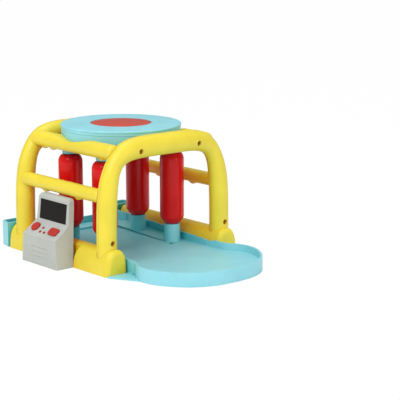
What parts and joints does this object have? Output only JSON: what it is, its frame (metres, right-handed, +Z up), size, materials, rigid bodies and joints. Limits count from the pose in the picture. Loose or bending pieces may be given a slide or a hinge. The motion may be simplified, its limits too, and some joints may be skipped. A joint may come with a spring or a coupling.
{
  "type": "toy drive-through car wash",
  "caption": "Toy drive-through car wash with arches, geared upright rollers, a turning roof dial, a base tray with an apron and a button console.",
  "frame": {"origin": "on the ground under the roof dial's axis, at the flat face of the tray's centre foot", "axes": "+Z up along the dial's axis; -Y towards the front apron; -X towards the button console"},
  "size_m": [0.2419, 0.3545, 0.1701],
  "materials": {
    "sky_blue_plastic": "satin moulded",
    "yellow_plastic": "satin moulded",
    "red_plastic": "glossy moulded",
    "grey_plastic": "satin moulded",
    "screen_film": "dark glossy film",
    "white_gear_plastic": "matte moulded",
    "screw_steel": "dark zinc"
  },
  "bodies": {
    "station": {"base_tray": "sky_blue_plastic", "lane_panel": "sky_blue_plastic", "roof_bowl": "sky_blue_plastic", "roof_gearbox": "sky_blue_plastic", "front_arch_outer": "yellow_plastic", "front_arch_inner": "yellow_plastic", "rear_arch_outer": "yellow_plastic", "rear_arch_inner": "yellow_plastic", "left_lower_beam": "yellow_plastic", "right_lower_beam": "yellow_plastic", "left_mid_rail": "yellow_plastic", "right_mid_rail": "yellow_plastic", "left_top_rail": "yellow_plastic", "right_top_rail": "yellow_plastic", "console_housing": "grey_plastic", "console_back": "grey_plastic", "console_screen": "screen_film", "lane_screw_left": "screw_steel", "lane_screw_right": "screw_steel", "front_arch_screw_low_left": "screw_steel", "front_arch_screw_low_right": "screw_steel", "front_arch_screw_high_left": "screw_steel", "front_arch_screw_high_right": "screw_steel", "rear_arch_screw_low_left": "screw_steel", "rear_arch_screw_low_right": "screw_steel", "rear_arch_screw_high_left": "screw_steel", "rear_arch_screw_high_right": "screw_steel", "roof_screw_front_left": "screw_steel", "roof_screw_front_right": "screw_steel", "roof_screw_rear_left": "screw_steel", "roof_screw_rear_right": "screw_steel", "console_foot_screw_front": "screw_steel", "console_foot_screw_rear": "screw_steel", "console_tower_screw_front": "screw_steel", "console_tower_screw_rear": "screw_steel"},
    "dial_body": {"dial": "sky_blue_plastic", "dial_inset": "red_plastic", "dial_gear": "white_gear_plastic", "dial_screw": "screw_steel"},
    "roller_front_left_body": {"roller_front_left": "red_plastic", "pinion_front_left": "white_gear_plastic"},
    "roller_front_right_body": {"roller_front_right": "red_plastic", "pinion_front_right": "white_gear_plastic"},
    "roller_rear_left_body": {"roller_rear_left": "red_plastic", "pinion_rear_left": "white_gear_plastic"},
    "roller_rear_right_body": {"roller_rear_right": "red_plastic", "pinion_rear_right": "white_gear_plastic"},
    "round_button_body": {"round_button": "red_plastic"},
    "wide_button_body": {"wide_button": "red_plastic"},
    "pad_front_left_body": {"pad_front_left": "red_plastic"},
    "pad_rear_left_body": {"pad_rear_left": "red_plastic"},
    "pad_front_right_body": {"pad_front_right": "red_plastic"}
  },
  "joints": [
    {"name": "dial_spin", "type": "hinge", "parent": "station", "child": "dial_body", "pos_m": [0, 0, 0.166], "axis": [0, 0, 1], "continuous": true},
    {"name": "roller_front_left_spin", "type": "hinge", "parent": "station", "child": "roller_front_left_body", "pos_m": [-0.0559, -0.0364, 0.0335], "axis": [0, 0, 1], "continuous": true},
    {"name": "roller_front_right_spin", "type": "hinge", "parent": "station", "child": "roller_front_right_body", "pos_m": [0.0559, -0.0364, 0.0335], "axis": [0, 0, 1], "continuous": true},
    {"name": "roller_rear_left_spin", "type": "hinge", "parent": "station", "child": "roller_rear_left_body", "pos_m": [-0.0559, 0.0364, 0.0335], "axis": [0, 0, 1], "continuous": true},
    {"name": "roller_rear_right_spin", "type": "hinge", "parent": "station", "child": "roller_rear_right_body", "pos_m": [0.0559, 0.0364, 0.0335], "axis": [0, 0, 1], "continuous": true},
    {"name": "round_button_press", "type": "slide", "parent": "station", "child": "round_button_body", "axis": [0.5948, 0, -0.8038], "range_m": [0, 0.002], "stiffness_N_per_m": 300},
    {"name": "wide_button_press", "type": "slide", "parent": "station", "child": "wide_button_body", "axis": [0.5948, 0, -0.8038], "range_m": [0, 0.002], "stiffness_N_per_m": 300},
    {"name": "pad_front_left_press", "type": "slide", "parent": "station", "child": "pad_front_left_body", "axis": [0.5948, 0, -0.8038], "range_m": [0, 0.0009], "stiffness_N_per_m": 300},
    {"name": "pad_rear_left_press", "type": "slide", "parent": "station", "child": "pad_rear_left_body", "axis": [0.5948, 0, -0.8038], "range_m": [0, 0.0009], "stiffness_N_per_m": 300},
    {"name": "pad_front_right_press", "type": "slide", "parent": "station", "child": "pad_front_right_body", "axis": [0.5948, 0, -0.8038], "range_m": [0, 0.0009], "stiffness_N_per_m": 300}
  ],
  "couplings": [
    {"joint": "roller_front_left_spin", "follows": "dial_spin", "ratio": -7},
    {"joint": "roller_front_right_spin", "follows": "dial_spin", "ratio": -7},
    {"joint": "roller_rear_left_spin", "follows": "dial_spin", "ratio": -7},
    {"joint": "roller_rear_right_spin", "follows": "dial_spin", "ratio": -7}
  ]
}
